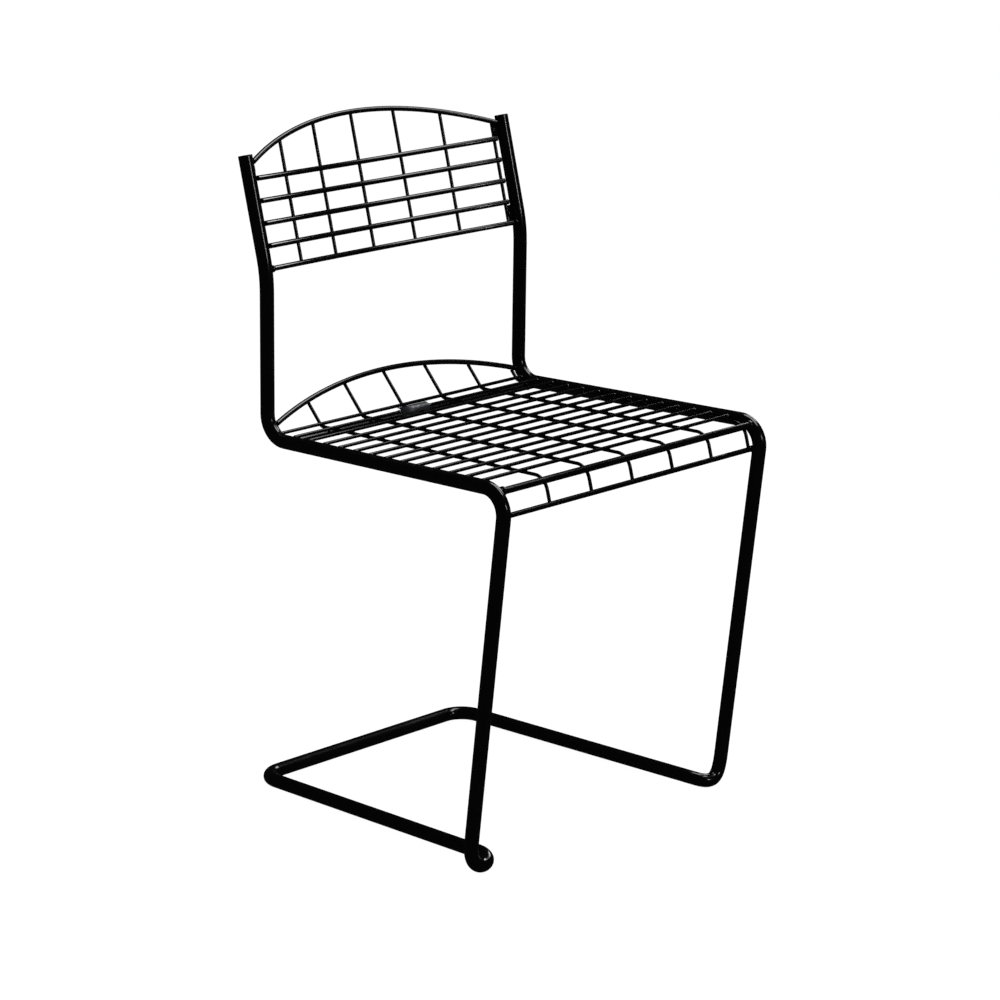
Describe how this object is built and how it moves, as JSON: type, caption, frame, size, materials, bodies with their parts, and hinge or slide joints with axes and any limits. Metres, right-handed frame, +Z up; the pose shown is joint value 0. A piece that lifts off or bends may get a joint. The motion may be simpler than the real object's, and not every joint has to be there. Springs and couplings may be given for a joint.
{
  "type": "dining chair",
  "caption": "Black cantilever dining chair with a bent tube frame and a welded wire mesh seat and back.",
  "frame": {"origin": "on the floor, in the middle of the chair's width and depth", "axes": "+X to the right as seen from the front, +Y from the front of the chair to its back, +Z up"},
  "size_m": [0.429, 0.4546, 0.7699],
  "materials": {
    "tube": "gloss",
    "wire": "gloss",
    "plug": "satin"
  },
  "bodies": {
    "root": {"left_side_tube": "tube", "right_side_tube": "tube", "left_post_plug": "plug", "right_post_plug": "plug", "seat_front_edge_bar": "wire", "seat_front_lower_bar": "wire", "seat_rear_cross_rod": "wire", "seat_rear_arch": "wire", "left_seat_side_wire": "wire", "right_seat_side_wire": "wire", "seat_long_wire_1": "wire", "seat_long_wire_2": "wire", "seat_long_wire_3": "wire", "seat_long_wire_4": "wire", "seat_long_wire_5": "wire", "seat_cross_wire_01": "wire", "seat_cross_wire_02": "wire", "seat_cross_wire_03": "wire", "seat_cross_wire_04": "wire", "seat_cross_wire_05": "wire", "seat_cross_wire_06": "wire", "seat_cross_wire_07": "wire", "seat_cross_wire_08": "wire", "seat_cross_wire_09": "wire", "seat_cross_wire_10": "wire", "seat_cross_wire_11": "wire", "seat_cross_wire_12": "wire", "seat_cross_wire_13": "wire", "seat_cross_wire_14": "wire", "back_arch": "wire", "back_cross_rod_1": "wire", "back_cross_rod_2": "wire", "back_cross_rod_3": "wire", "back_cross_rod_4": "wire", "back_cross_rod_5": "wire", "left_back_side_wire": "wire", "right_back_side_wire": "wire", "back_upright_wire_1": "wire", "back_upright_wire_2": "wire", "back_upright_wire_3": "wire", "back_upright_wire_4": "wire", "back_upright_wire_5": "wire", "left_lower_back_tab": "wire", "right_lower_back_tab": "wire", "left_upper_back_tab": "wire", "right_upper_back_tab": "wire"}
  },
  "joints": []
}
